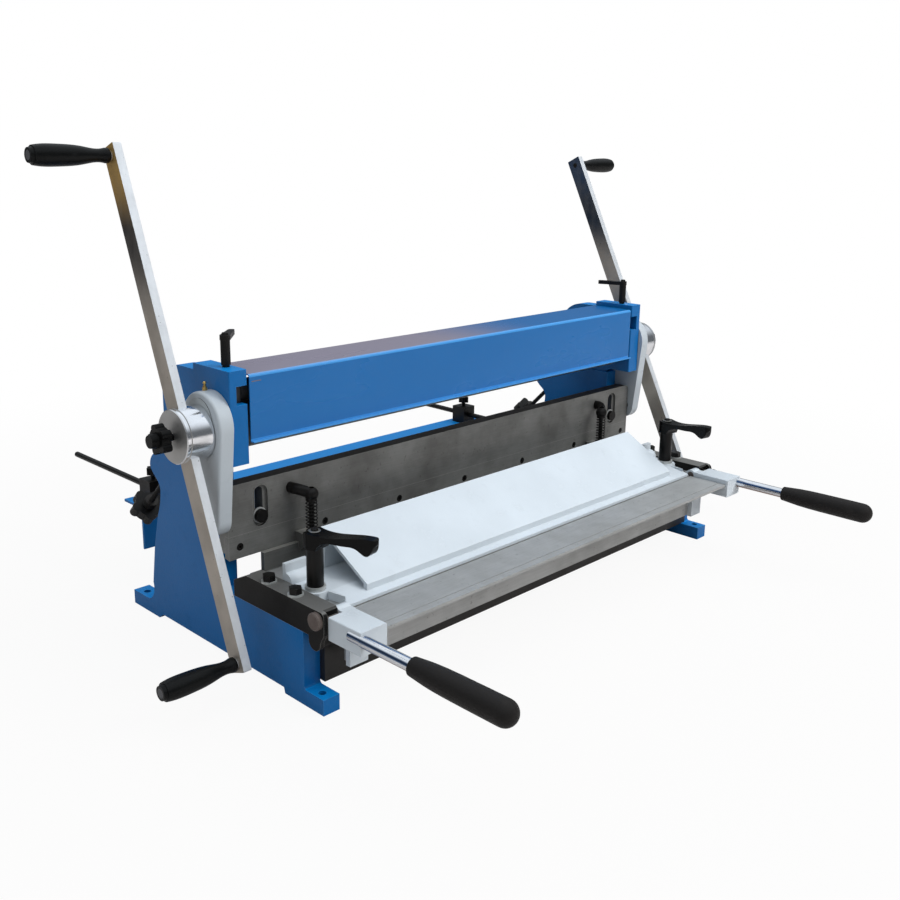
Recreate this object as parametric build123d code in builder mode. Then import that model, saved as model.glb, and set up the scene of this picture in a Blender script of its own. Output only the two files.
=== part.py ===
"""Three-in-one sheet-metal machine: shear, folding brake and slip roll on one pair of cast stands.

Millimetres.  X runs along the machine, the folding leaf faces -Y, +Z is up.  The halves are mirror
images about X = 0, apart from how the crank bars, top screws and gears stand.  The sections are drawn
from a datum 40.3 mm behind the middle of the four foot bolts, and each finished piece is moved so that
this middle, on the floor, is the origin.
"""

from build123d import *
from math import atan2, cos, degrees, pi, radians, sin, sqrt
import os

# Across the machine, from its middle
BED_HALF = 524.0
STAND_IN, STAND_OUT = 526.0, 558.0
HEAD_IN, HEAD_OUT = 531.0, 565.0
ROD_IN, ROD_OUT = 565.5, 592.0
HUB_IN, HUB_OUT = 592.8, 642.0
SCREW_X = 544.0
GUIDE_X = 498.6
SPRING_X = 416.0
GAUGE_X = 453.0
STUD_X = 503.5
HANDLE_X = 545.0

# Heights and depths of the frame
FOOT_BOLT_Y = (222.8, -303.4)
ORIGIN_Y = sum(FOOT_BOLT_Y) / 2
FLOOR_GAP = 10.0
FOOT_H = 27.0
LEDGE_Z = 125.5
TABLE_Z = 155.0
BED_TOP = 143.0
STAND_TOP = 345.0
HEAD_TOP = 508.6
HEAD_FRONT = -110.3
STAND_FRONT = -55.0

# Shafts
CRANK_Y, CRANK_Z = -65.0, 409.0
ECCENTRICITY = 19.0
ECCENTRIC_R = 36.0
HUB_R = 44.0
JOURNAL_R = 17.0
SPIGOT_R = 12.0
ROLL_HALF = 529.0
SCREW_SEAT_Z = 484.0
MAIN_ROLL_R = 40.0
SMALL_ROLL_R = 18.0
SMALL_JOURNAL_R = 10.0
PINCH_Y, PINCH_Z = -72.5, 467.5
REAR_Y, REAR_Z = 16.0, 389.5
REAR_ROLL_R = 19.0
FOLD_Y, FOLD_Z = -311.0, 156.0
END_BLOCK_TOP = 172.0
END_BOLT_Y = (-173.0, -242.0)
PIN_R = 8.0
FIT = 0.05

# Gears that drive the pinch roll
GEAR_MODULE = 2.0
MAIN_TEETH, PINCH_TEETH = 40, 19
GEAR_IN, GEAR_OUT = 504.0, 525.0

# The pinch gear's first tooth is turned so that a gap meets the main gear's tooth on the line of centres
LINE_UP = degrees(atan2(PINCH_Z - CRANK_Z, PINCH_Y - CRANK_Y))
MAIN_STEP, PINCH_STEP = 360 / MAIN_TEETH, 360 / PINCH_TEETH
TOOTH_LAG = (LINE_UP % MAIN_STEP) * MAIN_TEETH / PINCH_TEETH
PINCH_PHASE = (LINE_UP + 180 + TOOTH_LAG + PINCH_STEP / 2) % PINCH_STEP

# Shear
BEAM_BACK, BEAM_FACE = -63.0, -90.0
BEAM_HALF = 563.4
BEAM_BOTTOM, BEAM_TOP = 227.5, 315.0
BLADE_BOTTOM = 187.0
BLADE_SCREW_X = (-541.5, -361.0, -180.0, 0.0, 180.0, 361.0, 541.5)
BLADE_SCREW_Z = 206.5
BEAM_PIN_Y, BEAM_PIN_Z, BEAM_PIN_R = -77.0, 264.0, 7.0
GUIDE_Z, GUIDE_R = 251.3, 7.5
SPRING_Y = -121.5
SPRING_LOW, SPRING_HIGH = 209.0, 266.0
SPRING_R, WIRE_R, SPRING_TURNS = 9.5, 1.0, 9

# Crank bars
BAR_TILT = {"left": 21.2, "right": 26.0}
BAR_WIDE, BAR_THICK = 34.4, 14.6
BAR_IN = 615.0
BAR_UP, BAR_DOWN = 471.0, 381.0
AXLE_UP, AXLE_DOWN = 455.0, 366.0
AXLE_R = 5.0
GRIP_START, GRIP_LONG = 632.0, 130.0

# Folding leaf, clamp and gauge
APRON_HALF = 496.0
APRON_FRONT = -398.0
CLAMP_BOTTOM = 155.2
STUD_Y = -239.5
STUD_R = 8.0
ROD_Z = 151.0
GAUGE_Z, GAUGE_R = 184.0, 6.0

os.makedirs("parts", exist_ok=True)


def keep(piece, name):
    """Move a finished piece to the origin of the foot bolts, label it and write its file."""
    finished = Pos(0, -ORIGIN_Y, 0) * piece.part
    finished.label = name
    export_step(finished, f"parts/{name}.step")


def keep_side(side, right, name):
    """Write a right-hand piece for the right side, or its mirror image for the left."""
    if side == "right":
        keep(right, f"{name}_right")
        return
    with BuildPart() as left:
        mirror(right.part, about=Plane.YZ)
    keep(left, f"{name}_left")


def keep_both(right, name):
    """Write a right-hand piece and its mirror image."""
    for side in ("right", "left"):
        keep_side(side, right, name)


def across(x):
    """Plane square to the machine's length, with Y and Z as its own axes."""
    return Plane.YZ.offset(x)


def spot(x, y, z):
    """Plane at one point, square to the machine's length."""
    return Plane(origin=(x, y, z), x_dir=(0, 1, 0), z_dir=(1, 0, 0))


def cylinder_x(x_start, x_end, y, z, radius, mode=Mode.ADD):
    """Round bar or bore along X inside the open part."""
    with BuildSketch(spot(x_start, y, z)) as disc:
        Circle(radius)
    extrude(disc.sketch, amount=x_end - x_start, mode=mode)


def prism(plane, points, amount, mode=Mode.ADD):
    """Straight-sided outline on a plane, pushed out along its normal inside the open part."""
    with BuildSketch(plane) as face:
        with BuildLine():
            Polyline(*points, close=True)
        make_face()
    extrude(face.sketch, amount=amount, mode=mode)


def stand():
    """Cast side stand: two feet, a front ledge and a flared shoulder behind."""
    with BuildPart() as body:
        with BuildSketch(across(STAND_IN)):
            with BuildLine():
                Polyline((-276, LEDGE_Z), (-276, FOOT_H), (-323.5, FOOT_H), (-323.5, 0), (-226, 0),
                         (-223, FLOOR_GAP), (144, FLOOR_GAP), (157, 0), (247.6, 0), (247.6, FOOT_H),
                         (193, FOOT_H))
                ThreePointArc((193, FOOT_H), (175.5, 40), (173, 66))
                Polyline((173, 66), (160, 141), (142.6, 205))
                ThreePointArc((142.6, 205), (132.5, 231), (129, 256))
                Spline((129, 256), (146, 279), (160.5, 296), tangents=((0.1, 1), (0.4, 1)))
                ThreePointArc((160.5, 296), (154, 313), (133.7, 323.5))
                Polyline((133.7, 323.5), (107, STAND_TOP), (STAND_FRONT, STAND_TOP),
                         (STAND_FRONT, LEDGE_Z), (-276, LEDGE_Z))
            make_face()
        extrude(amount=STAND_OUT - STAND_IN)
        foot_corner = body.edges().filter_by(Axis.X).group_by(Axis.Y)[1].sort_by(Axis.Z)[0]
        fillet(foot_corner, radius=6)
        with BuildSketch(across(GUIDE_X - 28)):
            with BuildLine():
                Polyline((BEAM_BACK + 0.1, 215), (BEAM_BACK + 0.1, 300), (-38, 300), (-20, 275),
                         (-20, 232), (-38, 215), close=True)
            make_face()
        extrude(amount=STAND_IN - GUIDE_X + 28)
        with BuildSketch(across(STAND_IN)):
            with BuildLine():
                Polyline((BEAM_BACK + 0.1, 215), (BEAM_BACK + 0.1, 300), (STAND_FRONT, 300),
                         (STAND_FRONT, 215), close=True)
            make_face()
        extrude(amount=STAND_OUT - STAND_IN)
        with BuildSketch(Plane.XZ.offset(-BEAM_BACK)):
            with Locations((GUIDE_X, GUIDE_Z)):
                Circle(GUIDE_R + FIT)
        extrude(amount=-60, mode=Mode.SUBTRACT)
        with BuildSketch(Plane.XY):
            with Locations(*[(SCREW_X, y) for y in FOOT_BOLT_Y]):
                Circle(6.5)
        extrude(amount=FOOT_H, mode=Mode.SUBTRACT)
        with BuildSketch(Plane(origin=(SCREW_X, REAR_Y, REAR_Z), x_dir=(1, 0, 0), z_dir=(0, 1, -1))):
            Circle(5 + FIT)
        extrude(amount=260, mode=Mode.SUBTRACT)
    keep_both(body, "stand")


def head():
    """Cast roll head: crank bore, pinch block slot with a window in front, slanted rear block way."""
    with BuildPart() as body:
        with BuildSketch(across(HEAD_IN)):
            with BuildLine():
                Polyline((32, 498), (-9.2, 498), (-9.2, HEAD_TOP), (HEAD_FRONT, HEAD_TOP),
                         (HEAD_FRONT, 353.4), (STAND_FRONT, 353.4), (-45, STAND_TOP), (91, STAND_TOP),
                         (91, 450))
                ThreePointArc((91, 450), (76, 479), (32, 498))
            make_face()
        extrude(amount=HEAD_OUT - HEAD_IN)
        lower_front = body.edges().filter_by(Axis.Z).group_by(Axis.Y)[0].sort_by(Axis.X)
        fillet(lower_front, radius=2)
        cylinder_x(HEAD_IN, HEAD_OUT, CRANK_Y, CRANK_Z, JOURNAL_R + FIT, Mode.SUBTRACT)
        with BuildSketch(across(HEAD_IN)):
            with BuildLine():
                Polyline((-94.5, 447.5), (-94.5, 497), (-50.5, 497), (-50.5, 447.5), close=True)
            make_face()
        extrude(amount=21, mode=Mode.SUBTRACT)
        with BuildSketch(across(HEAD_IN)):
            with BuildLine():
                Polyline((HEAD_FRONT, 452), (HEAD_FRONT, 483), (-94.5, 483), (-94.5, 452), close=True)
            make_face()
        extrude(amount=21, mode=Mode.SUBTRACT)
        with BuildSketch(Plane(origin=(HEAD_IN, REAR_Y, REAR_Z), x_dir=(0, 1, -1), z_dir=(1, 0, 0))):
            with Locations((3, 0)):
                Rectangle(66, 34.2)
        extrude(amount=21, mode=Mode.SUBTRACT)
        with BuildSketch(Plane(origin=(SCREW_X, REAR_Y, REAR_Z), x_dir=(1, 0, 0), z_dir=(0, 1, -1))):
            Circle(5 + FIT)
        extrude(amount=140, mode=Mode.SUBTRACT)
        with BuildSketch(Plane.XY.offset(497)):
            with Locations((SCREW_X, PINCH_Y)):
                Circle(6 + FIT)
        extrude(amount=20, mode=Mode.SUBTRACT)
    keep_both(body, "head")


def guard():
    """Folded sheet over the rolls, with a lip along the bottom and a tab at each end."""
    sheet, low, high, back = 2.0, 388.0, 499.5, -9.5
    with BuildPart() as cover:
        with BuildSketch(across(-526.5)) as fold:
            with BuildLine():
                Polyline((-118, low), (HEAD_FRONT + sheet, low), (HEAD_FRONT + sheet, high - sheet),
                         (back, high - sheet), (back, high), (HEAD_FRONT, high),
                         (HEAD_FRONT, low + sheet), (-118, low + sheet), close=True)
            make_face()
            fillet(fold.vertices().sort_by_distance((HEAD_FRONT, high, 0))[0], radius=5)
            fillet(fold.vertices().sort_by_distance((HEAD_FRONT + sheet, high - sheet, 0))[0], radius=3)
        extrude(amount=2 * 526.5)
        for start in (-HEAD_IN, 521.0):
            prism(across(start), [(-46, 487), (-20, 487), (-20, high - sheet), (-46, high - sheet)], 10)
    keep(cover, "guard")


def bed():
    """Black channel between the stands, the ground table on it and the lower blade."""
    with BuildPart() as beam:
        prism(across(-STAND_IN), [(-288, 33), (-288, BED_TOP), (-104, BED_TOP), (-104, 100), (-116, 100),
                                  (-116, 131), (-276, 131), (-276, 45), (-150, 45), (-150, 33)],
              2 * STAND_IN)
        for start in (-STAND_IN, BED_HALF):
            prism(across(start), [(-320, LEDGE_Z - 1), (-320, 150), (-90, 150), (-90, LEDGE_Z - 1)],
                  STAND_IN - BED_HALF, mode=Mode.SUBTRACT)
    keep(beam, "bed_beam")

    with BuildPart() as table:
        prism(Plane.XY.offset(BED_TOP), [(-BED_HALF, -104), (BED_HALF, -104), (BED_HALF, -290),
                                         (APRON_HALF, -290), (APRON_HALF, -308.8), (-APRON_HALF, -308.8),
                                         (-APRON_HALF, -290), (-BED_HALF, -290)], TABLE_Z - BED_TOP)
        with BuildSketch(Plane.XY.offset(BED_TOP)):
            with Locations((-STUD_X, STUD_Y), (STUD_X, STUD_Y)):
                Circle(STUD_R + FIT)
        extrude(amount=20, mode=Mode.SUBTRACT)
    keep(table, "table")

    with BuildPart() as blade:
        prism(across(-BED_HALF), [(-104, 125), (-90.5, 125), (-90.5, TABLE_Z), (-104, TABLE_Z)],
              2 * BED_HALF)
    keep(blade, "lower_blade")


def end_block():
    """Block on the stand's ledge that carries the folding pivot, with a lobed outer plate."""
    with BuildPart() as block:
        prism(across(BED_HALF), [(-318, LEDGE_Z), (-318, END_BLOCK_TOP - 3), (-315, END_BLOCK_TOP),
                                 (-128, END_BLOCK_TOP), (-92, 154.4), (-92, LEDGE_Z)],
              STAND_OUT - BED_HALF)
        with BuildSketch(across(550.5)):
            with BuildLine():
                Polyline((-300, END_BLOCK_TOP), (-319, END_BLOCK_TOP))
                RadiusArc((-319, END_BLOCK_TOP), (-327, END_BLOCK_TOP - 8), -8)
                Polyline((-327, END_BLOCK_TOP - 8), (-327, 135), (-322, 128), (-318, 118))
                RadiusArc((-318, 118), (-290, 118), -14)
                Polyline((-290, 118), (-290, LEDGE_Z), (-300, END_BLOCK_TOP))
            make_face()
        extrude(amount=STAND_OUT - 550.5)
        with BuildSketch(across(530)):
            with BuildLine():
                Polyline((-316, LEDGE_Z), (-316, 120))
                RadiusArc((-316, 120), (-286, 120), -15)
                Polyline((-286, 120), (-286, LEDGE_Z), (-316, LEDGE_Z))
            make_face()
        extrude(amount=20.5)
        cylinder_x(BED_HALF, STAND_OUT, FOLD_Y, FOLD_Z, PIN_R + FIT, Mode.SUBTRACT)
        with BuildSketch(Plane.XY.offset(END_BLOCK_TOP)):
            with Locations(*[(HANDLE_X, y) for y in END_BOLT_Y]):
                Circle(5 + FIT)
        extrude(amount=-32, mode=Mode.SUBTRACT)
    keep_both(block, "end_block")


def frame_fasteners():
    """Hex bolts of the end blocks, pivot pins, guide bolts and clamp studs."""
    with BuildPart() as bolts:
        for y in END_BOLT_Y:
            with BuildSketch(Plane.XY.offset(END_BLOCK_TOP - 31)):
                with Locations((HANDLE_X, y)):
                    Circle(5)
            extrude(amount=31)
            with BuildSketch(Plane.XY.offset(END_BLOCK_TOP)):
                with Locations((HANDLE_X, y)):
                    Circle(13)
            extrude(amount=2.5)
            with BuildSketch(Plane.XY.offset(END_BLOCK_TOP + 2.5)):
                with Locations((HANDLE_X, y)):
                    RegularPolygon(radius=9.5, side_count=6, major_radius=False)
            extrude(amount=10.5)
        mirror(about=Plane.YZ)
    keep(bolts, "end_bolts")

    with BuildPart() as pins:
        cylinder_x(499, STAND_OUT, FOLD_Y, FOLD_Z, PIN_R)
        cylinder_x(STAND_OUT, STAND_OUT + 8, FOLD_Y, FOLD_Z, 14.4)
        chamfer(pins.edges().filter_by(GeomType.CIRCLE).sort_by(Axis.X)[-1], length=1.5)
        mirror(about=Plane.YZ)
    keep(pins, "pivot_pins")

    with BuildPart() as guides:
        for x in (-GUIDE_X, GUIDE_X):
            for start, deep, radius in ((-24, -85.1, GUIDE_R), (-85.1, -87.5, 13.5), (-87.5, -95, 11.5)):
                with BuildSketch(Plane.XZ.offset(-start)):
                    with Locations((x, GUIDE_Z)):
                        Circle(radius)
                extrude(amount=start - deep)
    keep(guides, "guide_bolts")

    with BuildPart() as studs:
        with BuildSketch(Plane.XY.offset(BED_TOP)):
            with Locations((-STUD_X, STUD_Y), (STUD_X, STUD_Y)):
                Circle(STUD_R)
        extrude(amount=112)
    keep(studs, "clamp_studs")


def rear_tie():
    """Bar between the stands that holds the two back gauge rods."""
    with BuildPart() as tie:
        prism(across(-STAND_IN), [(95, 168), (107, 168), (107, 200), (95, 200)], 2 * STAND_IN)
    keep(tie, "rear_tie")

    with BuildPart() as rods:
        with BuildSketch(Plane.XZ.offset(-107)):
            with Locations((-GAUGE_X, GAUGE_Z), (GAUGE_X, GAUGE_Z)):
                Circle(GAUGE_R)
        extrude(amount=-563)
        fillet(rods.edges().filter_by(GeomType.CIRCLE).group_by(Axis.Y)[-1], radius=3)
    keep(rods, "gauge_rods")


def shear_beam():
    """Moving plate with two stepped guide slots and a pin at each end, its blade and the screws."""
    with BuildPart() as beam:
        prism(Plane.XZ.offset(-BEAM_BACK), [(-BEAM_HALF, BEAM_BOTTOM), (-BEAM_HALF, BEAM_TOP),
                                            (BEAM_HALF, BEAM_TOP), (BEAM_HALF, BEAM_BOTTOM)],
              BEAM_BACK - BEAM_FACE)
        fillet(beam.edges().filter_by(Axis.Y).group_by(Axis.Z)[-1], radius=12)
        prism(Plane.XZ.offset(-BEAM_BACK), [(-BEAM_HALF, 197), (-BEAM_HALF, BEAM_BOTTOM),
                                            (BEAM_HALF, BEAM_BOTTOM), (BEAM_HALF, 197)], 15)
        for x in (-GUIDE_X, GUIDE_X):
            with BuildSketch(Plane.XZ.offset(-BEAM_FACE)):
                with Locations((x, 269)):
                    SlotOverall(72, 31, rotation=90)
            extrude(amount=-5, mode=Mode.SUBTRACT)
            with BuildSketch(Plane.XZ.offset(-BEAM_FACE)):
                with Locations((x, 271)):
                    SlotOverall(60, 16, rotation=90)
            extrude(amount=-40, mode=Mode.SUBTRACT)
        for start in (-BEAM_HALF - 21, BEAM_HALF - 4):
            cylinder_x(start, start + 25, BEAM_PIN_Y, BEAM_PIN_Z, BEAM_PIN_R)
    keep(beam, "blade_beam")

    with BuildPart() as blade:
        prism(across(-BEAM_HALF), [(-90, BLADE_BOTTOM), (-90, BEAM_BOTTOM), (-78, BEAM_BOTTOM),
                                     (-78, BLADE_BOTTOM + 1.5)], 2 * BEAM_HALF)
        with BuildSketch(Plane.XZ.offset(90)):
            with Locations(*[(x, BLADE_SCREW_Z) for x in BLADE_SCREW_X]):
                Circle(7)
        extrude(amount=-3.5, mode=Mode.SUBTRACT)
        with BuildSketch(Plane.XZ.offset(90)):
            with Locations(*[(x, BLADE_SCREW_Z) for x in BLADE_SCREW_X]):
                Circle(4.1)
        extrude(amount=-12, mode=Mode.SUBTRACT)
    keep(blade, "upper_blade")

    with BuildPart() as screws:
        with BuildSketch(Plane.XZ.offset(78)):
            with Locations(*[(x, BLADE_SCREW_Z) for x in BLADE_SCREW_X]):
                Circle(4)
        extrude(amount=8.5)
        with BuildSketch(Plane.XZ.offset(86.5)):
            with Locations(*[(x, BLADE_SCREW_Z) for x in BLADE_SCREW_X]):
                Circle(6.5)
                RegularPolygon(radius=3, side_count=6, mode=Mode.SUBTRACT)
        extrude(amount=2.3)
    keep(screws, "blade_screws")


def spring_arms():
    """Goosenecks on the beam's face, each with a drilled ball over its spring."""
    root_x, root_z, ball_z, ball_r = 437.0, 287.0, 278.0, 12.5
    with BuildPart() as arms:
        with BuildLine() as bend:
            Spline((root_x, BEAM_FACE, root_z), (root_x - 3, -106, root_z),
                   (SPRING_X, SPRING_Y, ball_z + 2), tangents=((0, -1, 0), (-1, -0.5, -0.3)))
        with BuildSketch(Plane(origin=bend.line @ 0, z_dir=bend.line % 0)):
            Ellipse(10, 8)
        sweep(path=bend.line)
        with BuildSketch(Plane.XY.offset(SPRING_HIGH)):
            with Locations((SPRING_X, SPRING_Y)):
                Circle(10)
        extrude(amount=16)
        with Locations((SPRING_X, SPRING_Y, ball_z)):
            Sphere(ball_r)
        with BuildSketch(Plane.XY.offset(SPRING_HIGH)):
            with Locations((SPRING_X, SPRING_Y)):
                Circle(20)
        extrude(amount=-20, mode=Mode.SUBTRACT)
        with BuildSketch(Plane.XY.offset(240)):
            with Locations((SPRING_X, SPRING_Y)):
                Circle(5.5)
        extrude(amount=80, mode=Mode.SUBTRACT)
        mirror(about=Plane.YZ)
    keep(arms, "spring_arms")


def hold_down():
    """Bar that grips the sheet ahead of the blade, with a gusseted lug under each spring."""
    with BuildPart() as bar:
        prism(across(-502), [(-101, 155.3), (-91.5, 155.3), (-91.5, 188), (-101, 188)], 1004)
        for x in (-SPRING_X, SPRING_X):
            prism(across(x - 13), [(-91.5, 188), (-91.5, 206), (-134, 206), (-134, 200), (-101, 172),
                                     (-101, 188)], 26)
        fillet(bar.edges().filter_by(Axis.Z).group_by(Axis.Y)[0], radius=8)
    keep(bar, "hold_down_bar")

    with BuildPart() as posts:
        for base, high, radius in ((206, 3, 11), (209, 77, 4.5)):
            with BuildSketch(Plane.XY.offset(base)):
                with Locations((-SPRING_X, SPRING_Y), (SPRING_X, SPRING_Y)):
                    Circle(radius)
            extrude(amount=high)
    keep(posts, "spring_posts")


def helix_point(turn):
    """Point and direction on the spring's centre line, counted in turns from its foot."""
    climb = (SPRING_HIGH - SPRING_LOW - 2 * WIRE_R) / SPRING_TURNS
    angle = 2 * pi * turn
    point = Vector(SPRING_R * cos(angle), SPRING_R * sin(angle), SPRING_LOW + WIRE_R + climb * turn)
    heading = Vector(-2 * pi * SPRING_R * sin(angle), 2 * pi * SPRING_R * cos(angle), climb)
    return point, heading.normalized()


def spring(side, name):
    """Coil spring: one tube along half-turn pairs of tangent arcs."""
    middle = Vector(side * SPRING_X, SPRING_Y, 0)
    halves = 2 * SPRING_TURNS
    with BuildPart() as coil:
        with BuildLine() as path:
            for step in range(halves):
                first, out = helix_point(step / 2)
                last, into = helix_point((step + 1) / 2)
                gap, both = last - first, out + into
                share = 4 - both.dot(both)
                pull = gap.dot(both)
                reach = (sqrt(pull ** 2 + share * gap.dot(gap)) - pull) / share
                middle_dir = ((last - into * reach) - (first + out * reach)).normalized()
                joint = ((last - into * reach) + (first + out * reach)) / 2
                TangentArc(middle + first, middle + joint, tangent=out)
                TangentArc(middle + joint, middle + last, tangent=middle_dir)
        with BuildSketch(Plane(origin=path.line @ 0, z_dir=path.line % 0)):
            Circle(WIRE_R)
        sweep(path=path.line)
    spots = [path.line @ (i / 900) for i in range(901)]
    reach_ahead = 900 // SPRING_TURNS // 2
    gap = min((spots[i] - spots[j]).length for i in range(901) for j in range(i + reach_ahead, 901))
    print(f"{name}: least gap between turns {gap - 2 * WIRE_R:.2f} mm")
    keep(coil, name)


def clamp():
    """Clamp bar: wedge-shaped base with ears and lugs, and a hollow triangular stiffener on it."""
    with BuildPart() as bar:
        prism(across(-490), [(-309, CLAMP_BOTTOM), (-309, 160.4), (-261, 169), (-180, 169),
                               (-180, CLAMP_BOTTOM)], 980)
        prism(Plane.XY.offset(CLAMP_BOTTOM), [(489, -296), (496, -261), (513, -261), (523, -251),
                                                (523, -180), (489, -180)], 169 - CLAMP_BOTTOM)
        prism(across(478), [(-180, 169), (-180, 200), (-188, 200), (-188, 169)], 45)
        with BuildSketch(across(478)):
            with BuildLine():
                Polyline((-188, 185), (-188, 169), (-204, 169))
                RadiusArc((-204, 169), (-188, 185), 16)
            make_face()
        extrude(amount=45)
        prism(across(0), [(-293, 162), (-293, 174), (-177.5, 240), (-174.8, 235.2), (-180, 232.2),
                            (-180, 169), (-186, 169), (-186, 228.8), (-284, 172.8), (-284, 164)], 441)
        mirror(about=Plane.YZ)
        with BuildSketch(Plane.XY.offset(150)):
            with Locations((-STUD_X, STUD_Y), (STUD_X, STUD_Y)):
                Circle(STUD_R + 0.4)
        extrude(amount=30, mode=Mode.SUBTRACT)
    keep(bar, "clamp_bar")

    with BuildPart() as tubes:
        for base, high, radius in ((169, 6, 17), (175, 65, 13.8)):
            with BuildSketch(Plane.XY.offset(base)):
                with Locations((-STUD_X, STUD_Y), (STUD_X, STUD_Y)):
                    Circle(radius)
                    Circle(STUD_R + 0.4, mode=Mode.SUBTRACT)
            extrude(amount=high)
    keep(tubes, "clamp_tubes")


def lever():
    """Clamp lever: a round hub and a tapering arm with a raised, thickened tip."""
    arm_long = 124.0
    heading = degrees(atan2(-121.5, -24.0))
    hub = Plane(origin=(STUD_X, STUD_Y, 0), x_dir=(cos(radians(heading)), sin(radians(heading)), 0),
                z_dir=(0, 0, 1))
    side_view = Plane(origin=(STUD_X, STUD_Y, 0), x_dir=hub.x_dir, z_dir=-hub.y_dir)
    with BuildPart() as handle:
        with BuildSketch(hub.offset(236)):
            Circle(18)
            with Locations((arm_long - 9, 0)):
                Circle(9)
            make_hull()
        extrude(amount=50)
        with BuildSketch(side_view):
            with BuildLine():
                Polyline((-19, 240.2), (15, 240.2))
                Spline((15, 240.2), (28, 255), (66, 259), (92, 258), (arm_long - 3, 268),
                       tangents=((0.2, 1), (0.3, 1)))
                ThreePointArc((arm_long - 3, 268), (arm_long, 275), (arm_long - 7, 279))
                Spline((arm_long - 7, 279), (60, 270), (18, 265), (0, 266.5))
                ThreePointArc((0, 266.5), (-12, 265), (-19, 259))
                Line((-19, 259), (-19, 240.2))
            make_face()
        extrude(amount=30, both=True, mode=Mode.INTERSECT)
        with BuildSketch(hub.offset(230)):
            Circle(STUD_R + 0.06)
        extrude(amount=26, mode=Mode.SUBTRACT)
    keep_both(handle, "lever")


def apron():
    """Folding leaf: ground top plate and the web below it, cut back round the pivot arms."""
    with BuildPart() as leaf:
        prism(across(-505), [(-323, 72), (FOLD_Y, 72), (FOLD_Y, 150), (-323, 150)], 1010)
        prism(across(-APRON_HALF), [(APRON_FRONT, 150), (APRON_FRONT, TABLE_Z), (-312.5, TABLE_Z),
                                    (-312.5, 150)], 2 * APRON_HALF)
        prism(across(-APRON_HALF), [(-383, 154), (-382, 154), (-382, 156), (-383, 156)],
              2 * APRON_HALF, mode=Mode.SUBTRACT)
        for start in (-505, 497.5):
            prism(across(start), [(-330, 138), (-300, 138), (-300, 160), (-330, 160)], 7.5,
                  mode=Mode.SUBTRACT)
    keep(leaf, "apron")


def bracket():
    """Handle bracket: block at the leaf's end, pivot arm round the fold axis, plate on the web."""
    with BuildPart() as body:
        prism(across(498), [(-402, 126), (-402, 164.6), (-328, 164.6), (-328, 126)], 52)
        fillet(body.edges().filter_by(Axis.Y), radius=2)
        with BuildSketch(spot(498, FOLD_Y, FOLD_Z)):
            Circle(12)
            with Locations((-10, -1.7)):
                Rectangle(20, 20.6)
        extrude(amount=24)
        cylinder_x(498, 522, FOLD_Y, FOLD_Z, PIN_R + FIT, Mode.SUBTRACT)
        prism(across(475), [(-333, 70), (-323, 70), (-323, 126), (-333, 126)], 37)
        prism(across(498), [(-333, 126), (-323, 126), (-323, 146), (-333, 146)], 14)
        with BuildSketch(Plane.XZ.offset(402)):
            with Locations((HANDLE_X, ROD_Z)):
                Circle(9)
        extrude(amount=-30, mode=Mode.SUBTRACT)
    keep_both(body, "bracket")


def apron_handles():
    """Chrome rods screwed into the brackets and their long black grips."""
    with BuildPart() as rods:
        with BuildSketch(Plane.XZ.offset(374)):
            with Locations((-HANDLE_X, ROD_Z), (HANDLE_X, ROD_Z)):
                Circle(9 - FIT)
        extrude(amount=28)
        with BuildSketch(Plane.XZ.offset(402)):
            with Locations((-HANDLE_X, ROD_Z), (HANDLE_X, ROD_Z)):
                Circle(10)
        extrude(amount=108)
        with BuildSketch(Plane.XZ.offset(510)):
            with Locations((-HANDLE_X, ROD_Z), (HANDLE_X, ROD_Z)):
                Circle(6)
        extrude(amount=30)
    keep(rods, "handle_rods")

    with BuildPart() as grips:
        with BuildSketch(Plane(origin=(HANDLE_X, 0, ROD_Z), x_dir=(1, 0, 0), z_dir=(0, 0, 1))):
            with BuildLine():
                Polyline((6 + FIT, -541), (6 + FIT, -510), (12, -510), (14.5, -507))
                Spline((14.5, -507), (17.5, -540), (19.2, -600), (19.5, -675.5),
                       tangents=((0.1, -1), (0, -1)))
                CenterArc((0, -675.5), 19.5, 0, -90)
                Polyline((0, -695), (0, -541), (6 + FIT, -541))
            make_face()
        revolve(axis=Axis((HANDLE_X, 0, ROD_Z), (0, 1, 0)))
        mirror(about=Plane.YZ)
    keep(grips, "handle_grips")


def gear(plane, teeth, phase):
    """Gear wheel inside the open part: blank at the root circle with straight-sided teeth."""
    pitch = GEAR_MODULE * teeth / 2
    root, tip = pitch - 2.3, pitch + 1.5
    with BuildSketch(plane) as wheel:
        Circle(root)
        with PolarLocations(0, teeth, start_angle=phase):
            with BuildLine():
                Polyline((root - 0.4, -1.75), (tip, -0.75), (tip, 0.75), (root - 0.4, 1.75), close=True)
            make_face()
    extrude(wheel.sketch, amount=GEAR_OUT - GEAR_IN)


def main_roll():
    """Driven roll with its gear, journals and the spigots that carry the hubs."""
    with BuildPart() as roll:
        cylinder_x(-ROLL_HALF, GEAR_IN, CRANK_Y, CRANK_Z, MAIN_ROLL_R)
        gear(spot(GEAR_IN, CRANK_Y, CRANK_Z), MAIN_TEETH, 0)
        cylinder_x(GEAR_OUT, ROLL_HALF, CRANK_Y, CRANK_Z, 30)
        cylinder_x(-ROD_IN - 0.5, ROD_IN + 0.5, CRANK_Y, CRANK_Z, JOURNAL_R)
        cylinder_x(-606, 606, CRANK_Y, CRANK_Z, SPIGOT_R)
    keep(roll, "main_roll")


def bar_plane(side):
    """Plane on the crank bar's inner face, its own Y along the bar."""
    tilt = radians(BAR_TILT[side])
    return Plane(origin=(BAR_IN, CRANK_Y, CRANK_Z), z_dir=(1, 0, 0), x_dir=(0, cos(tilt), -sin(tilt)))


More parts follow.
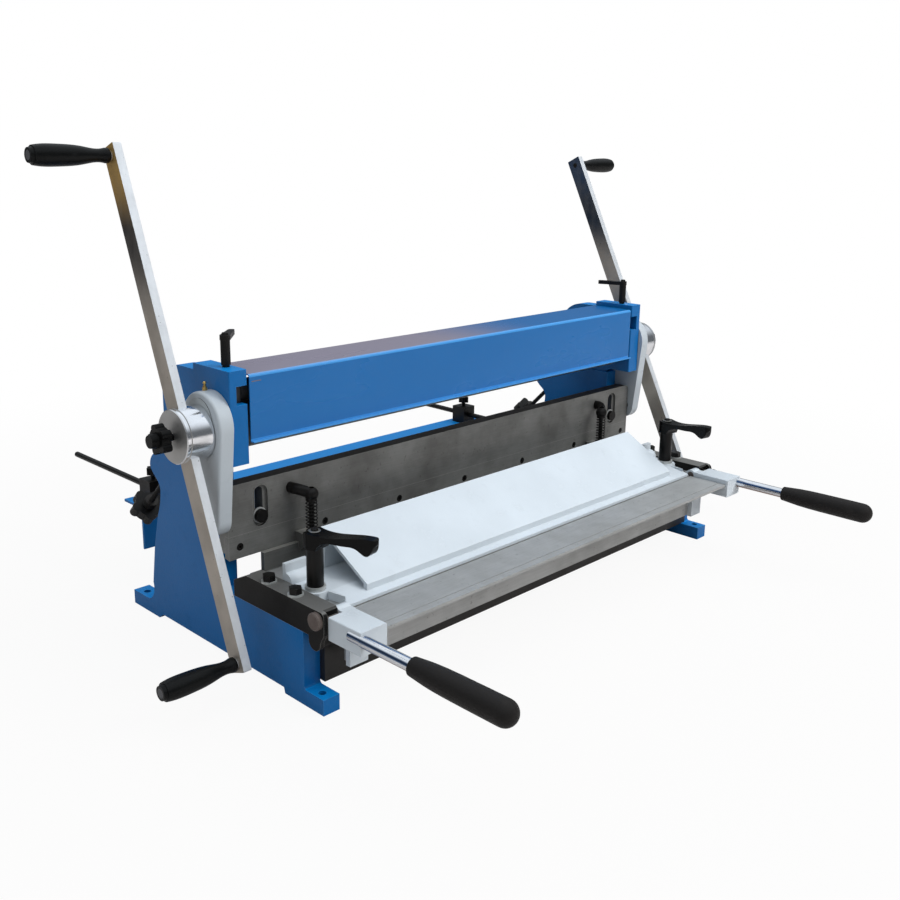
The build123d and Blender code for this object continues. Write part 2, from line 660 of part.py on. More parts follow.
def bar_point(side, along):
    """Place on the crank bar's middle line, counted from the hub's axis toward its upper end."""
    tilt = radians(BAR_TILT[side])
    return CRANK_Y + along * sin(tilt), CRANK_Z + along * cos(tilt)


def hub(side):
    """Eccentric disc and grooved drum, slotted for the crank bar."""
    with BuildPart() as drum:
        cylinder_x(ROD_IN + 0.5, HUB_IN, CRANK_Y, CRANK_Z + ECCENTRICITY, ECCENTRIC_R)
        with BuildSketch(Plane(origin=(0, CRANK_Y, CRANK_Z), x_dir=(1, 0, 0), z_dir=(0, -1, 0))):
            with BuildLine():
                Polyline((HUB_IN, 0), (HUB_IN, HUB_R - 1), (HUB_IN + 1, HUB_R), (633, HUB_R),
                         (634, HUB_R - 1.5), (636.5, HUB_R - 1.5), (637.5, HUB_R), (640.5, HUB_R),
                         (HUB_OUT, HUB_R - 1.5), (HUB_OUT, 0), close=True)
            make_face()
        revolve(axis=Axis((0, CRANK_Y, CRANK_Z), (1, 0, 0)))
        with BuildSketch(bar_plane(side)):
            Rectangle(BAR_WIDE + 0.1, 2 * HUB_R + 4)
        extrude(amount=BAR_THICK + 0.1, mode=Mode.SUBTRACT)
        cylinder_x(ROD_IN, 607, CRANK_Y, CRANK_Z, SPIGOT_R + FIT, Mode.SUBTRACT)
        cylinder_x(BAR_IN, HUB_OUT, CRANK_Y, CRANK_Z, 5.5 + FIT, Mode.SUBTRACT)
    keep_side(side, drum, "hub")


def con_rod():
    """Connecting rod: big end on the eccentric, blind pocket inside its foot for the beam's pin."""
    with BuildPart() as rod:
        with BuildSketch(across(ROD_IN)):
            with Locations((-66, 419)):
                Circle(54.5)
            with Locations((-74, 264)):
                Circle(30)
            make_hull()
        extrude(amount=ROD_OUT - ROD_IN)
        fillet(rod.faces().sort_by(Axis.X)[-1].edges(), radius=5)
        cylinder_x(ROD_IN, ROD_OUT, CRANK_Y, CRANK_Z + ECCENTRICITY, ECCENTRIC_R + FIT, Mode.SUBTRACT)
        with BuildSketch(across(ROD_IN)):
            with Locations((BEAM_PIN_Y + 3.6, BEAM_PIN_Z - 1.25)):
                RectangleRounded(34.8, 22.3, 7.6)
        extrude(amount=22, mode=Mode.SUBTRACT)
        with BuildSketch(Plane.XY.offset(467)):
            with Locations((577, -60)):
                Circle(3 + FIT)
        extrude(amount=10, mode=Mode.SUBTRACT)
    keep_both(rod, "con_rod")

    with BuildPart() as nipple:
        with BuildSketch(Plane.XY.offset(468)):
            with Locations((577, -60)):
                Circle(3)
        extrude(amount=8)
        with BuildSketch(Plane.XY.offset(473.6)):
            with Locations((577, -60)):
                RegularPolygon(radius=4.5, side_count=6)
        extrude(amount=4.4)
        with BuildSketch(Plane.XY.offset(478)):
            with Locations((577, -60)):
                Circle(3.2)
        extrude(amount=5, taper=14)
    keep_both(nipple, "nipple")


def crank_bar(side):
    """Flat bar through the hub with a grip axle near each end."""
    with BuildPart() as bar:
        with BuildSketch(bar_plane(side).offset(FIT)):
            with Locations((0, (BAR_UP - BAR_DOWN) / 2)):
                Rectangle(BAR_WIDE, BAR_UP + BAR_DOWN)
        extrude(amount=BAR_THICK)
        chamfer(bar.edges().filter_by(Axis.X), length=1.5)
        for along in (AXLE_UP, -AXLE_DOWN):
            y, z = bar_point(side, along)
            cylinder_x(BAR_IN + BAR_THICK - 2, GRIP_START + GRIP_LONG - 6, y, z, AXLE_R)
            cylinder_x(BAR_IN + BAR_THICK - 1, GRIP_START - 0.2, y, z, 8)
    keep_side(side, bar, "crank_bar")


def crank_grip(side, along, name):
    """Revolving grip: collar, neck and a body that swells toward its capped end."""
    y, z = bar_point(side, along)
    with BuildPart() as grip:
        with BuildSketch(Plane(origin=(GRIP_START, y, z), x_dir=(1, 0, 0), z_dir=(0, -1, 0))):
            with BuildLine():
                Polyline((0, AXLE_R + FIT), (0, 10), (2, 12), (7, 12))
                Spline((7, 12), (16, 10.5), (45, 14), (85, 17), (114, 16.5), (GRIP_LONG - 6, 15))
                Polyline((GRIP_LONG - 6, 15), (GRIP_LONG - 6, 13), (GRIP_LONG, 11.5), (GRIP_LONG, 0),
                         (GRIP_LONG - 5.8, 0), (GRIP_LONG - 5.8, AXLE_R + FIT), (0, AXLE_R + FIT))
            make_face()
        revolve(axis=Axis((0, y, z), (1, 0, 0)))
    keep_side(side, grip, name)


def star_knob(plane, radius, height, lobes):
    """Lobed knob body on a plane inside the open part."""
    with BuildSketch(plane) as star:
        Circle(radius * 0.78)
        with PolarLocations(radius * 0.72, lobes):
            Circle(radius * 0.28)
    extrude(star.sketch, amount=height)


def hub_knob():
    """Star knob whose stud locks the crank bar in the hub."""
    face = spot(655, CRANK_Y, CRANK_Z)
    with BuildPart() as knob:
        star_knob(face, 25, 16, 5)
        with BuildSketch(face.offset(16)):
            Circle(13)
        extrude(amount=12, taper=12)
        with BuildSketch(face):
            Circle(10)
        extrude(amount=-6)
        cylinder_x(BAR_IN + BAR_THICK + 0.4, 655, CRANK_Y, CRANK_Z, 5.5)
    keep_both(knob, "hub_knob")


def pinch():
    """Upper pinch roll with its gear, the sliding blocks and the crank-handled top screws."""
    with BuildPart() as blocks:
        prism(across(533), [(-94, 447.6), (-94, 487.5), (-51, 487.5), (-51, 447.6)], 18)
        cylinder_x(533, 551, PINCH_Y, PINCH_Z, SMALL_JOURNAL_R + FIT, Mode.SUBTRACT)
        with BuildSketch(Plane.XY.offset(SCREW_SEAT_Z - 0.2)):
            with Locations((SCREW_X, PINCH_Y)):
                Circle(6 + FIT)
        extrude(amount=10, mode=Mode.SUBTRACT)
        mirror(about=Plane.YZ)
    keep(blocks, "pinch_blocks")

    with BuildPart() as roll:
        cylinder_x(-ROLL_HALF, GEAR_IN, PINCH_Y, PINCH_Z, SMALL_ROLL_R)
        gear(spot(GEAR_IN, PINCH_Y, PINCH_Z), PINCH_TEETH, PINCH_PHASE)
        cylinder_x(GEAR_OUT, ROLL_HALF, PINCH_Y, PINCH_Z, 14)
        cylinder_x(-550, 550, PINCH_Y, PINCH_Z, SMALL_JOURNAL_R)
    keep(roll, "pinch_roll")

    for side, turn, name in ((-1, 45, "top_screw_left"), (1, 114, "top_screw_right")):
        with BuildPart() as screw:
            for base, high, radius in ((SCREW_SEAT_Z, 28.2, 6), (512.2, 46, 7.8)):
                with BuildSketch(Plane.XY.offset(base)):
                    with Locations((side * SCREW_X, PINCH_Y)):
                        Circle(radius)
                extrude(amount=high)
            top = Plane(origin=(side * SCREW_X, PINCH_Y, 552),
                        x_dir=(cos(radians(turn)), sin(radians(turn)), 0), z_dir=(0, 0, 1))
            with BuildSketch(top):
                Circle(8.5)
                with Locations((52, 0)):
                    Circle(5.5)
                make_hull()
            extrude(amount=8)
            with BuildSketch(top.offset(8)):
                Circle(6)
            extrude(amount=4, taper=20)
        keep(screw, name)


def rear_rolls():
    """Rear forming roll, its blocks on the slanted ways and the long screws with star knobs."""
    slant = Plane(origin=(533, REAR_Y, REAR_Z), x_dir=(0, 1, -1), z_dir=(1, 0, 0))
    with BuildPart() as blocks:
        with BuildSketch(slant):
            Rectangle(34, 34)
        extrude(amount=18)
        cylinder_x(533, 551, REAR_Y, REAR_Z, SMALL_JOURNAL_R + FIT, Mode.SUBTRACT)
        mirror(about=Plane.YZ)
    keep(blocks, "rear_blocks")

    with BuildPart() as roll:
        cylinder_x(-ROLL_HALF, ROLL_HALF, REAR_Y, REAR_Z, REAR_ROLL_R)
        cylinder_x(-550, 550, REAR_Y, REAR_Z, SMALL_JOURNAL_R)
    keep(roll, "rear_roll")

    along = Plane(origin=(SCREW_X, REAR_Y, REAR_Z), x_dir=(1, 0, 0), z_dir=(0, 1, -1))
    with BuildPart() as screw:
        with BuildSketch(along.offset(17.1)):
            Circle(5)
        extrude(amount=244)
        star_knob(along.offset(255), 32, 20, 5)
        with BuildSketch(along.offset(240)):
            Circle(12)
        extrude(amount=15)
        with BuildSketch(along.offset(275)):
            Circle(15)
        extrude(amount=6, taper=15)
    keep_both(screw, "rear_knob")


def back_gauge():
    """Blue gauge angle on two blocks that slide on the rods, each locked by a thumb screw."""
    with BuildPart() as angle:
        prism(across(-498.5), [(307, 75), (307, 163), (377, 163), (377, 158), (312, 158), (312, 75)],
              2 * 498.5)
    keep(angle, "gauge_angle")

    with BuildPart() as blocks:
        prism(across(GAUGE_X - 20), [(320, 163), (320, 205), (360, 205), (360, 163)], 40)
        with BuildSketch(Plane.XZ.offset(-320)):
            with Locations((GAUGE_X, GAUGE_Z)):
                Circle(GAUGE_R + 0.06)
        extrude(amount=-40, mode=Mode.SUBTRACT)
        with BuildSketch(Plane.XY.offset(205)):
            with Locations((GAUGE_X, 340)):
                Circle(4 + FIT)
        extrude(amount=-14, mode=Mode.SUBTRACT)
        mirror(about=Plane.YZ)
    keep(blocks, "gauge_blocks")

    with BuildPart() as thumb:
        with BuildSketch(Plane.XY.offset(191)):
            with Locations((GAUGE_X, 340)):
                Circle(4)
        extrude(amount=26)
        star_knob(Plane(origin=(GAUGE_X, 340, 214), z_dir=(0, 0, 1)), 13, 14, 5)
    keep_both(thumb, "thumb")


stand()
head()
guard()
bed()
end_block()
frame_fasteners()
rear_tie()
shear_beam()
spring_arms()
hold_down()
spring(-1, "spring_left")
spring(1, "spring_right")
clamp()
lever()
apron()
bracket()
apron_handles()
main_roll()
con_rod()
for end in ("left", "right"):
    hub(end)
    crank_bar(end)
    crank_grip(end, AXLE_UP, "grip_top")
    crank_grip(end, -AXLE_DOWN, "grip_low")
hub_knob()
pinch()
rear_rolls()
back_gauge()
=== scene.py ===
from math import pi, radians

import bmesh
import bpy
from bpy.props import FloatProperty, FloatVectorProperty, PointerProperty
from mathutils import Matrix, Vector


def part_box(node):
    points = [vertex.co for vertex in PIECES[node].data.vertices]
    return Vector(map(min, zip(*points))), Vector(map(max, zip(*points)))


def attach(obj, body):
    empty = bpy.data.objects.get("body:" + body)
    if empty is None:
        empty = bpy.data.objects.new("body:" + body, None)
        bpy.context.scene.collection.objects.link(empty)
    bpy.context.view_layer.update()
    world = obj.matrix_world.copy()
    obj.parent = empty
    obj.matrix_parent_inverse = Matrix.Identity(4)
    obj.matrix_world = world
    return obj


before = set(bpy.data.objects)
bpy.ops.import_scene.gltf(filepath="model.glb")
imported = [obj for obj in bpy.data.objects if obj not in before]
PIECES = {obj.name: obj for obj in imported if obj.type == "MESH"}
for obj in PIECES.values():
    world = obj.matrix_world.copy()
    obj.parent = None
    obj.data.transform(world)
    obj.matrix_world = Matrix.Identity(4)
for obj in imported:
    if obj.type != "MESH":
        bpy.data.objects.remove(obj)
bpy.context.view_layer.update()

bl_info = {
    "name": "Three-in-one sheet-metal machine",
    "version": (1, 0, 0),
    "blender": (4, 5, 0),
    "location": "3D View > Sidebar > Sheet metal",
    "description": "Paint, ground steel and small fittings of a bench shear, folding brake and slip roll",
    "category": "Object",
}

MM = 0.001
CREASE_ANGLE = radians(35)

# Each side's name and its direction along X
SIDES = {"left": -1, "right": 1}

# Fittings and marks, each measured from one end of a piece's box
END_WASHER = 2.7 * MM
GUIDE_WASHER = (7.3 * MM, 10.2 * MM)
TUBE_FLANGE = 6.2 * MM
LEVER_TOP = 11 * MM
DRUM_SEAT = 1.6 * MM
SCRATCH_ALONG = (8.5 * MM, 27 * MM)
SCRATCH_BELOW = (11.9 * MM, 10.6 * MM)

# Threads of the rear roll's adjusting screws
REAR_SCREW_AXIS = (0, 0.7071, -0.7071)
REAR_SCREW_PITCH = 2 * MM

# Turned marks on the crank grips' outer ends
GRIP_CAP_RADIUS = 7.5 * MM
GRIP_RING_RADIUS = 8.6 * MM

# Dirt in the paint, and the stage's white
GRIME = (0.03, 0.03, 0.03, 1)
WHITE = (1, 1, 1, 1)

# Camera that matches the photograph
LENS_MM = 40.89
SENSOR_MM = 36
LENS_SHIFT = (0.0184, -0.0439)
CAMERA_PLACE = (-1.44307, -1.39252, 0.84127)
CAMERA_TURN = (75.9122, -0.6348, -45.0295)
LAMP_AIM = (0, 0, 0.25)


# ---------------------------------------------------------------- materials as expressions

class Value:
    """One output of a material's nodes, used in plain arithmetic."""

    def __init__(self, look, socket):
        self.look, self.socket = look, socket

    def _maths(self, operation, *terms):
        return self.look.node("ShaderNodeMath", {"operation": operation}, dict(enumerate(terms)))

    def __add__(self, other):
        return self._maths("ADD", self, other)

    __radd__ = __add__

    def __sub__(self, other):
        return self._maths("SUBTRACT", self, other)

    def __rsub__(self, other):
        return self._maths("SUBTRACT", other, self)

    def __mul__(self, other):
        return self._maths("MULTIPLY", self, other)

    __rmul__ = __mul__

    def __gt__(self, other):
        return self._maths("GREATER_THAN", self, other)

    def __lt__(self, other):
        return self._maths("LESS_THAN", self, other)

    def sine(self):
        return self._maths("SINE", self)

    def smooth(self, low, high):
        """Soft step: 0 below low, 1 above high."""
        return self.look.node(
            "ShaderNodeMapRange", {"interpolation_type": "SMOOTHSTEP"},
            {"Value": self, "From Min": low, "From Max": high})


class Tree:
    """The nodes of one material or world, with the method that makes them."""

    def __init__(self, owner, output):
        owner.use_nodes = True
        self.tree = owner.node_tree
        self.tree.nodes.clear()
        self.output = self.tree.nodes.new(output)

    def node(self, kind, options, inputs, output=0):
        """Make one node: its options first, then its sockets' values or links."""
        made = self.tree.nodes.new(kind)
        for key, value in options.items():
            setattr(made, key, value)
        for key, value in inputs.items():
            self.join(made.inputs[key], value)
        return Value(self, made.outputs[output])

    def join(self, socket, value):
        """Give a socket a number, a colour or another node's output."""
        if isinstance(value, Value):
            self.tree.links.new(value.socket, socket)
        else:
            socket.default_value = value

    def split_by_ray(self, share, lit, seen):
        """Show the shader called seen to the camera, by that share, and lit to everything else."""
        camera = self.node("ShaderNodeLightPath", {}, {}, "Is Camera Ray")
        both = self.node("ShaderNodeMixShader", {}, {0: camera * share, 1: lit, 2: seen})
        self.join(self.output.inputs[0], both)


class Look(Tree):
    """A material being written: it holds the surface shader and the textures they all use."""

    def __init__(self, name, **fixed):
        self.material = bpy.data.materials.new(name)
        super().__init__(self.material, "ShaderNodeOutputMaterial")
        self.surface = self.tree.nodes.new("ShaderNodeBsdfPrincipled")
        self.tree.links.new(self.surface.outputs[0], self.output.inputs[0])
        for socket, value in fixed.items():
            self.surface.inputs[socket.replace("_", " ")].default_value = value

    def set(self, socket, value):
        """Feed one of the surface shader's own sockets."""
        self.join(self.surface.inputs[socket], value)

    def place(self, stretch=(1, 1, 1)):
        """Position on the machine in metres, with each direction stretched for grain."""
        here = self.node("ShaderNodeTexCoord", {}, {}, "Object")
        return self.node("ShaderNodeVectorMath", {"operation": "MULTIPLY"}, {0: here, 1: stretch})

    def noise(self, scale, detail, stretch=(1, 1, 1)):
        """Cloudy pattern from 0 to 1, with about scale spots to the metre."""
        return self.node("ShaderNodeTexNoise", {}, {
            "Vector": self.place(stretch), "Scale": scale, "Detail": detail, "Roughness": 0.55})

    def mix(self, share, first, second):
        """Colour between first and second."""
        return self.node("ShaderNodeMix", {"data_type": "RGBA"}, {0: share, 6: first, 7: second}, 2)

    def bump(self, height, strength, distance):
        """Normal of a surface raised by that height pattern, at most by that distance."""
        return self.node("ShaderNodeBump", {}, {
            "Strength": strength, "Distance": distance, "Height": height})

    def edges(self, radius):
        """1 near sharp edges, 0 on flat faces."""
        rounded = self.node("ShaderNodeBevel", {"samples": 6}, {"Radius": radius})
        flat = self.node("ShaderNodeNewGeometry", {}, {}, "Normal")
        dot = self.node("ShaderNodeVectorMath", {"operation": "DOT_PRODUCT"}, {0: rounded, 1: flat}, 1)
        return (1 - dot).smooth(0.002, 0.12)

    def coordinate(self, axis):
        """One coordinate of the surface point, in metres."""
        return self.node("ShaderNodeSeparateXYZ", {}, {0: self.place()}, axis)

    def between(self, axis, low, high):
        """1 where one coordinate lies between low and high, in metres."""
        along = self.coordinate(axis)
        return (along > low) * (along < high)

    def lean(self, axis="Z"):
        """How far the face looks along an axis, from -1 to 1."""
        normal = self.node("ShaderNodeTexCoord", {}, {}, "Normal")
        return self.node("ShaderNodeSeparateXYZ", {}, {0: normal}, axis)

    def upward(self):
        """1 on faces that look up when the machine is at rest."""
        return self.lean().smooth(0.6, 0.9)

    def facing(self, axis):
        """1 on faces square to an axis, on either side, 0 on faces along it."""
        part = self.lean(axis)
        return (part * part).smooth(0.3, 0.8)


def srgb(r, g, b):
    """Colour written as screen values from 0 to 255."""
    def linear(c):
        c /= 255
        return c / 12.92 if c <= 0.04045 else ((c + 0.055) / 1.055) ** 2.4
    return linear(r), linear(g), linear(b), 1.0


def shade(color, factor):
    """The same colour made darker or lighter."""
    return tuple(c * factor for c in color[:3]) + (1.0,)


def enamel(name, color, edge_color, texture_size, texture_depth, roughness, top=None):
    """Gloss enamel: soft texture, drift of colour, thin edges; top paints a reflection on the upper faces.
    """
    look = Look(name, Coat_Weight=0.06, Coat_Roughness=0.12, Specular_IOR_Level=0.25)
    drift = look.noise(6, 4).smooth(0.3, 0.7)
    grime = look.noise(38, 6).smooth(0.56, 0.78)
    specks = look.noise(420, 2).smooth(0.74, 0.78)
    base = look.mix(drift * 0.35, color, shade(color, 0.80))
    base = look.mix(grime * 0.10, base, GRIME)
    base = look.mix(specks * 0.5, base, shade(color, 0.3))
    # Painted reflection: the upper faces take the top colour.
    if top:
        base = look.mix(look.upward(), base, top)
    look.set("Base Color", look.mix(look.edges(1.2 * MM) * 0.5, base, edge_color))
    look.set("Roughness", roughness + drift * 0.06 + grime * 0.12)
    look.set("Normal", look.bump(look.noise(texture_size, 2), 0.35, texture_depth))
    return look.material


def guard_paint(color, edge_color, low, high):
    """Smooth sheet enamel: a painted reflection on the top, a thin scratch at the upper left corner,
    painted highlights on the folds.
    """
    look = Look("guard_paint", Coat_Weight=0.2, Coat_Roughness=0.08, Specular_IOR_Level=0.3)
    drift = look.noise(3.5, 3, (1, 3, 3)).smooth(0.3, 0.7)
    x, y, z = (look.coordinate(axis) for axis in "XYZ")
    ragged = z + look.noise(900, 3, (0.3, 1, 1)) * (1.6 * MM)
    scratch = (ragged > high.z - SCRATCH_BELOW[0]) * (ragged < high.z - SCRATCH_BELOW[1])
    scratch = scratch * look.between("X", low.x + SCRATCH_ALONG[0], low.x + SCRATCH_ALONG[1])
    # Painted reflection, not dust: the top's upper faces turn grey, fading out towards the right.
    dust = (z > high.z - 2 * MM) * look.upward() * (1 - x.smooth(-0.1, 0.22))
    # Painted highlight: the bends along the top front edge and the bottom lip are paler, as if lit from
    # above.
    fold_highlight = (z > high.z - 5 * MM) * (y < low.y + 12 * MM) + (z < low.z + 5 * MM)
    base = look.mix(drift * 0.3, color, shade(color, 0.85))
    # Grey of the painted reflection on the top
    base = look.mix(dust * 0.85, base, srgb(150, 138, 146))
    # Painted highlight on the folds, and pale thin paint on the edges
    base = look.mix(fold_highlight * 0.75 + look.edges(1.0 * MM) * 0.2, base, edge_color)
    look.set("Base Color", look.mix(scratch, base, srgb(128, 104, 76)))
    look.set("Roughness", 0.26 + drift * 0.06 + scratch * 0.4)
    look.set("Normal", look.bump(look.noise(700, 2), 0.12, 0.2 * MM))
    return look.material


def ground_steel(name, color, dark, grain, wear, top=None):
    """Ground plate: fine lines along the machine, oil stains, bright edges; top paints a reflection on its
    upper faces.
    """
    look = Look(name, Metallic=0.55)
    lines = look.noise(grain, 3, (0.04, 1, 1))
    stain = look.noise(7, 6).smooth(0.38, 0.72)
    mottle = look.noise(34, 5).smooth(0.35, 0.75)
    spots = look.noise(130, 3).smooth(0.64, 0.74)
    base = look.mix(lines.smooth(0.3, 0.7) * 0.3, color, shade(color, 0.72))
    base = look.mix(stain * wear, base, dark)
    base = look.mix(mottle * wear * 0.35, base, shade(dark, 0.7))
    base = look.mix(spots * 0.35, base, srgb(52, 44, 36))
    # Painted reflection: the upper faces take the top colour.
    if top:
        base = look.mix(look.upward(), base, top)
    look.set("Base Color", look.mix(look.edges(1.1 * MM) * 0.6, base, srgb(176, 176, 170)))
    look.set("Roughness", 0.44 + lines * 0.12 + stain * 0.12)
    look.set("Normal", look.bump(lines, 0.22, 0.2 * MM))
    return look.material


def black_oxide(name, roughness, bright=None):
    """Blackened steel, rubbed brighter on its edges; bright gives the mask of what is left plated."""
    look = Look(name, Metallic=0.5)
    cloud = look.noise(45, 4).smooth(0.3, 0.75)
    base = look.mix(cloud * 0.5, srgb(15, 14, 13), srgb(34, 31, 28))
    base = look.mix(look.edges(0.6 * MM) * 0.35, base, srgb(96, 90, 84))
    if bright:
        base = look.mix(bright(look), base, srgb(196, 198, 196))
    look.set("Base Color", base)
    look.set("Roughness", roughness + cloud * 0.16)
    look.set("Normal", look.bump(look.noise(900, 2), 0.2, 0.2 * MM))
    return look.material


def threaded_black(name, axis, pitch):
    """Blackened screw: the thread's ridges run across its axis, a unit vector."""
    look = Look(name, Metallic=0.5)
    along = look.node("ShaderNodeVectorMath", {"operation": "DOT_PRODUCT"}, {0: look.place(), 1: axis}, 1)
    ridge = (along * (2 * pi / pitch)).sine()
    worn = look.noise(120, 3).smooth(0.45, 0.75)
    base = look.mix(ridge.smooth(0.2, 1.0) * 0.5, srgb(18, 17, 16), srgb(74, 70, 66))
    look.set("Base Color", look.mix(worn * 0.3, base, srgb(60, 54, 48)))
    look.set("Roughness", 0.4 + worn * 0.15)
    look.set("Normal", look.bump(ridge, 0.9, 0.5 * MM))
    return look.material


def black_paint():
    """Satin black of the bed and the tie bar."""
    look = Look("black_paint", Coat_Weight=0.1)
    cloud = look.noise(14, 5).smooth(0.3, 0.75)
    look.set("Base Color", look.mix(cloud * 0.5, srgb(20, 19, 18), srgb(38, 34, 30)))
    look.set("Roughness", 0.38 + cloud * 0.2)
    look.set("Normal", look.bump(look.noise(260, 3), 0.3, 0.4 * MM))
    return look.material


def moulded_plastic(name, color, roughness):
    """Black moulded plastic with a fine spark-eroded texture and a little dust."""
    look = Look(name, Specular_IOR_Level=0.14)
    dust = look.noise(60, 5).smooth(0.55, 0.8)
    rubbed = look.edges(0.8 * MM)
    base = look.mix(dust * 0.12, color, shade(color, 4))
    look.set("Base Color", look.mix(rubbed * 0.2, base, shade(color, 5)))
    look.set("Roughness", roughness + dust * 0.15)
    look.set("Normal", look.bump(look.noise(1400, 2), 0.45, 0.3 * MM))
    return look.material


def plated_steel(name):
    """Plated steel: bright, with soft yellow-brown tarnish, pin-pricks and rolling marks."""
    look = Look(name, Metallic=0.9)
    marks = look.noise(60, 4, (1, 1, 0.12))
    tarnish = look.noise(7, 5).smooth(0.40, 0.70)
    pricks = look.noise(260, 2).smooth(0.70, 0.76)
    base = look.mix(marks.smooth(0.3, 0.7) * 0.3, srgb(196, 196, 192), srgb(150, 150, 146))
    base = look.mix(tarnish * 0.55, base, srgb(140, 122, 98))
    base = look.mix(pricks * 0.8, base, srgb(60, 56, 50))
    look.set("Base Color", look.mix(look.edges(0.8 * MM) * 0.5, base, srgb(226, 226, 222)))
    look.set("Roughness", 0.30 + tarnish * 0.18)
    look.set("Normal", look.bump(marks, 0.15, 0.3 * MM))
    return look.material


def bar_steel(name, centre, top, waist):
    """Plated crank bar: pale narrow edges; broad faces carry a painted reflection, top to waist to
    grey-brown downward.
    """
    look = Look(name, Metallic=0.5)
    marks = look.noise(60, 4, (1, 1, 0.12))
    cloud = look.noise(16, 4).smooth(0.35, 0.7)
    pricks = look.noise(240, 2).smooth(0.70, 0.76)
    # Painted reflection on the broad faces, by height: grey-brown low down, then the waist colour, then the
    # top colour.
    height = look.coordinate("Z") - centre
    face = look.mix(height.smooth(0.15, 0.28), srgb(182, 172, 160), waist)
    face = look.mix(height.smooth(0.30, 0.39), face, top)
    face = look.mix(cloud * 0.3, face, srgb(120, 112, 104))
    base = look.mix(look.facing("X"), srgb(236, 240, 244), face)
    base = look.mix(marks.smooth(0.3, 0.7) * 0.15, base, srgb(150, 150, 146))
    look.set("Base Color", look.mix(pricks * 0.8, base, srgb(60, 56, 50)))
    look.set("Roughness", 0.34 + cloud * 0.16)
    look.set("Normal", look.bump(marks, 0.15, 0.3 * MM))
    return look.material


def hub_chrome(seat):
    """Chromed drums with brushed end faces; nearer the middle than seat, ends are grey and rims painted
    dark as shade at the seat.
    """
    look = Look("hub_chrome")
    haze = look.noise(20, 4).smooth(0.4, 0.8)
    x = look.coordinate("X")
    inner = x * x < seat ** 2
    end = look.facing("X")
    base = look.mix(haze * 0.3, srgb(246, 248, 252), srgb(170, 170, 170))
    base = look.mix(end * 0.6, base, srgb(150, 144, 132))
    # Painted shade: the rim beside the connecting rod's seat is dark, as in the gap between the parts.
    behind = look.mix(end, srgb(26, 26, 28), srgb(178, 184, 186))
    look.set("Base Color", look.mix(inner, base, behind))
    look.set("Metallic", 1 - inner * 0.9)
    look.set("Roughness", 0.12 + haze * 0.12 + end * 0.38)
    look.set("Normal", look.bump(look.noise(500, 2, (1, 0.1, 0.1)), 0.06, 0.2 * MM))
    return look.material


def rod_chrome():
    """Chromed handle rods with a painted reflection: a blue band on the upper side, a white ridge above it
    and brown below.
    """
    look = Look("rod_chrome", Metallic=0.95)
    haze = look.noise(20, 4).smooth(0.4, 0.8)
    # Painted reflection, set by how far each face looks up.
    lean = look.lean()
    base = look.mix(haze * 0.3, srgb(236, 238, 242), srgb(170, 170, 170))
    underside_reflection = 1 - lean.smooth(-0.7, -0.3)
    flank_reflection = lean.smooth(0.1, 0.25) * (1 - lean.smooth(0.55, 0.7))
    base = look.mix(underside_reflection, base, srgb(132, 104, 92))
    look.set("Base Color", look.mix(flank_reflection, base, srgb(84, 108, 142)))
    look.set("Roughness", 0.12 + haze * 0.12)
    look.set("Normal", look.bump(look.noise(500, 2, (1, 0.1, 0.1)), 0.06, 0.2 * MM))
    return look.material


def turned_steel(name, color):
    """Turned roll or rough casting, lightly oiled."""
    look = Look(name, Metallic=0.7)
    rings = look.noise(400, 2, (1, 0.02, 0.02))
    oil = look.noise(12, 4).smooth(0.4, 0.75)
    look.set("Base Color", look.mix(oil * 0.5, color, shade(color, 0.5)))
    look.set("Roughness", 0.35 + oil * 0.15)
    look.set("Normal", look.bump(rings, 0.2, 0.2 * MM))
    return look.material


def brass():
    """Machined brass of the grease nipples."""
    look = Look("brass", Metallic=1.0)
    dull = look.noise(300, 3).smooth(0.4, 0.7)
    look.set("Base Color", look.mix(dull * 0.5, srgb(232, 196, 120), srgb(150, 114, 62)))
    look.set("Roughness", 0.28 + dull * 0.2)
    look.set("Normal", look.bump(dull, 0.2, 0.1 * MM))
    return look.material


# ---------------------------------------------------------------- helpers

def dress(material, *names):
    """Give CAD pieces their material."""
    for name in names:
        slots = PIECES[name].data.materials
        slots.clear()
        slots.append(material)


def settings():
    """The values that the panel shows."""
    return bpy.context.scene.sheet_metal_machine


def both(*names):
    """The left and right pieces of these names."""
    return [f"{name}_{side}" for name in names for side in SIDES]


def middle(name):
    """Centre of a CAD piece at rest."""
    low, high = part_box(name)
    return (low + high) / 2


def in_mm(*points):
    """Places and radii of a turned profile, given in millimetres."""
    return [(along * MM, radius * MM) for along, radius in points]


def lathe(profile, centre, axis, steps=36):
    """Closed turned form: pairs of place along the axis and radius, spun round an axis through centre."""
    mesh = bmesh.new()
    turn = Vector((0, 0, 1)).rotation_difference(Vector(axis)).to_matrix().to_4x4()
    placing = Matrix.Translation(centre) @ turn
    for along, radius in profile:
        mesh.verts.new((radius, 0, along))
    mesh.verts.ensure_lookup_table()
    for start, end in zip(mesh.verts[:-1], mesh.verts[1:]):
        mesh.edges.new((start, end))
    bmesh.ops.spin(mesh, geom=mesh.verts[:] + mesh.edges[:], angle=2 * pi, steps=steps,
                   axis=(0, 0, 1), cent=(0, 0, 0))
    bmesh.ops.remove_doubles(mesh, verts=mesh.verts[:], dist=1e-6)
    bmesh.ops.recalc_face_normals(mesh, faces=mesh.faces[:])
    bmesh.ops.transform(mesh, matrix=placing, verts=mesh.verts[:])
    return mesh


def add_piece(mesh, name, material, body):
    """Turn a finished bmesh into a named piece that rides on a body."""
    data = bpy.data.meshes.new(name)
    mesh.to_mesh(data)
    mesh.free()
    data.materials.append(material)
    data.shade_smooth()
    piece = bpy.data.objects.new(name, data)
    bpy.context.scene.collection.objects.link(piece)
    crease = piece.modifiers.new("crease", "EDGE_SPLIT")
    crease.split_angle = CREASE_ANGLE
    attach(piece, body)
    return piece


# ---------------------------------------------------------------- settings

